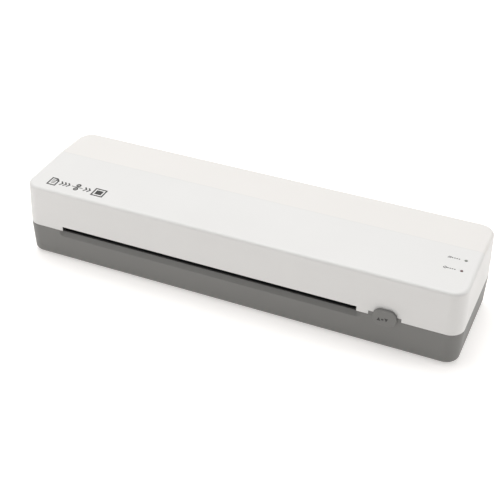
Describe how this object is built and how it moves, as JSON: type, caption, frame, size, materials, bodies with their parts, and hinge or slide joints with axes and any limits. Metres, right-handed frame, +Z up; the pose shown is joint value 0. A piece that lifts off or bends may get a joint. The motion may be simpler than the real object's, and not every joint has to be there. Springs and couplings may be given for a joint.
{
  "type": "pouch laminator",
  "caption": "Desktop pouch laminator with hot shoes, geared rubber rollers, a jam-release button, indicator lamps, a rear switch and a cord inlet in a two-part moulded case.",
  "frame": {"origin": "on the table under the middle of the case", "axes": "+X along the case to the operator's right, +Z up; the pouch goes in at -Y and leaves at +Y"},
  "size_m": [0.337, 0.0941, 0.0625],
  "materials": {
    "case_grey": "fine moulded texture",
    "case_white": "fine moulded texture",
    "rubber_black": "soft matte",
    "label_stock": "blank satin label",
    "screw_steel": "zinc plated",
    "frame_steel": "zinc plated sheet and bar",
    "shoe_aluminium": "mill finish",
    "heater_mica": "mica laminate",
    "insulator": "unglazed",
    "thermostat_body": "bakelite and steel",
    "guide_black": "black high-temperature plastic",
    "roller_silicone": "silicone rubber, matte",
    "shaft_steel": "ground bar",
    "bush_brass": "sintered",
    "white_pom": "natural acetal",
    "spring_steel": "music wire",
    "motor_zinc": "passivated can",
    "button_grey": "fine moulded texture",
    "linkage_steel": "stamped",
    "switch_black": "moulded nylon",
    "board_green": "solder mask",
    "ready_lens": "diffused lens, unlit",
    "power_lens": "diffused lens, unlit"
  },
  "bodies": {
    "case": {"lower_case": "case_grey", "upper_case": "case_white", "rubber_feet": "rubber_black", "rating_label": "label_stock", "case_screws": "screw_steel", "left_side_frame": "frame_steel", "right_side_frame": "frame_steel", "frame_tie_rods": "frame_steel", "frame_screws": "screw_steel", "lower_heating_shoe": "shoe_aluminium", "upper_heating_shoe": "shoe_aluminium", "lower_heater": "heater_mica", "upper_heater": "heater_mica", "lower_heater_clamp": "frame_steel", "upper_heater_clamp": "frame_steel", "shoe_insulators": "insulator", "thermostat": "thermostat_body", "thermal_fuse": "thermostat_body", "lower_infeed_guide": "guide_black", "upper_infeed_guide": "guide_black", "lower_exit_guide": "guide_black", "upper_exit_guide": "guide_black", "lower_roller_bushes": "bush_brass", "idler_pin": "frame_steel", "drive_motor": "motor_zinc", "motor_bracket": "frame_steel", "motor_screws": "screw_steel", "bracket_standoffs": "frame_steel", "switch_body": "switch_black", "cord_gland": "switch_black", "gland_nut": "switch_black", "terminal_block": "insulator", "led_board": "board_green", "board_screws": "screw_steel", "ready_lamp": "ready_lens", "power_lamp": "power_lens"},
    "lower_roller": {"lower_roller_shaft": "shaft_steel", "lower_roller_sleeve": "roller_silicone", "lower_roller_clips": "screw_steel", "lower_roller_gear": "white_pom"},
    "upper_carriage": {"left_bearing_block": "white_pom", "right_bearing_block": "white_pom", "left_pressure_spring": "spring_steel", "right_pressure_spring": "spring_steel"},
    "upper_roller": {"upper_roller_shaft": "shaft_steel", "upper_roller_sleeve": "roller_silicone", "upper_roller_clips": "screw_steel", "upper_roller_gear": "white_pom"},
    "idler": {"idler_gear": "white_pom"},
    "motor_output": {"motor_shaft": "frame_steel", "motor_pinion": "white_pom"},
    "release_button": {"release_button": "button_grey", "button_spring": "spring_steel"},
    "release_linkage": {"release_shaft": "frame_steel", "release_lever": "linkage_steel", "left_release_lifter": "linkage_steel", "right_release_lifter": "linkage_steel"},
    "power_rocker": {"power_rocker": "switch_black"}
  },
  "joints": [
    {"name": "lower_roller_spin", "type": "hinge", "parent": "case", "child": "lower_roller", "pos_m": [0, 0.014, 0.0175], "axis": [1, 0, 0], "continuous": true},
    {"name": "carriage_lift", "type": "slide", "parent": "case", "child": "upper_carriage", "axis": [0, 0, 1], "range_m": [0, 0.00142], "stiffness_N_per_m": 1500, "springref_m": -0.002, "deforming": ["left_pressure_spring", "right_pressure_spring"]},
    {"name": "upper_roller_spin", "type": "hinge", "parent": "upper_carriage", "child": "upper_roller", "pos_m": [0, 0.014, 0.0396], "axis": [1, 0, 0], "continuous": true},
    {"name": "idler_spin", "type": "hinge", "parent": "case", "child": "idler", "pos_m": [0.107, -0.00361, 0.02124], "axis": [1, 0, 0], "continuous": true},
    {"name": "motor_spin", "type": "hinge", "parent": "case", "child": "motor_output", "pos_m": [0.107, -0.015, 0.031], "axis": [1, 0, 0], "continuous": true},
    {"name": "button_press", "type": "slide", "parent": "case", "child": "release_button", "axis": [0, 0, -1], "range_m": [0, 0.005], "stiffness_N_per_m": 150, "springref_m": -0.003, "deforming": ["button_spring"]},
    {"name": "release_turn", "type": "hinge", "parent": "case", "child": "release_linkage", "pos_m": [0, -0.01, 0.045], "axis": [1, 0, 0], "range_deg": [0, 10.77]},
    {"name": "rocker_tilt", "type": "hinge", "parent": "case", "child": "power_rocker", "pos_m": [0.1425, 0.0405, 0.043], "axis": [0, 0, 1], "range_deg": [0, 18]}
  ],
  "couplings": [
    {"joint": "upper_roller_spin", "follows": "lower_roller_spin", "ratio": -1},
    {"joint": "idler_spin", "follows": "lower_roller_spin", "ratio": -1.5714},
    {"joint": "motor_spin", "follows": "lower_roller_spin", "ratio": 1.375},
    {"joint": "release_turn", "follows": "carriage_lift", "rad_per_m": 132.35},
    {"joint": "button_press", "follows": "carriage_lift", "ratio": 3.5263}
  ]
}
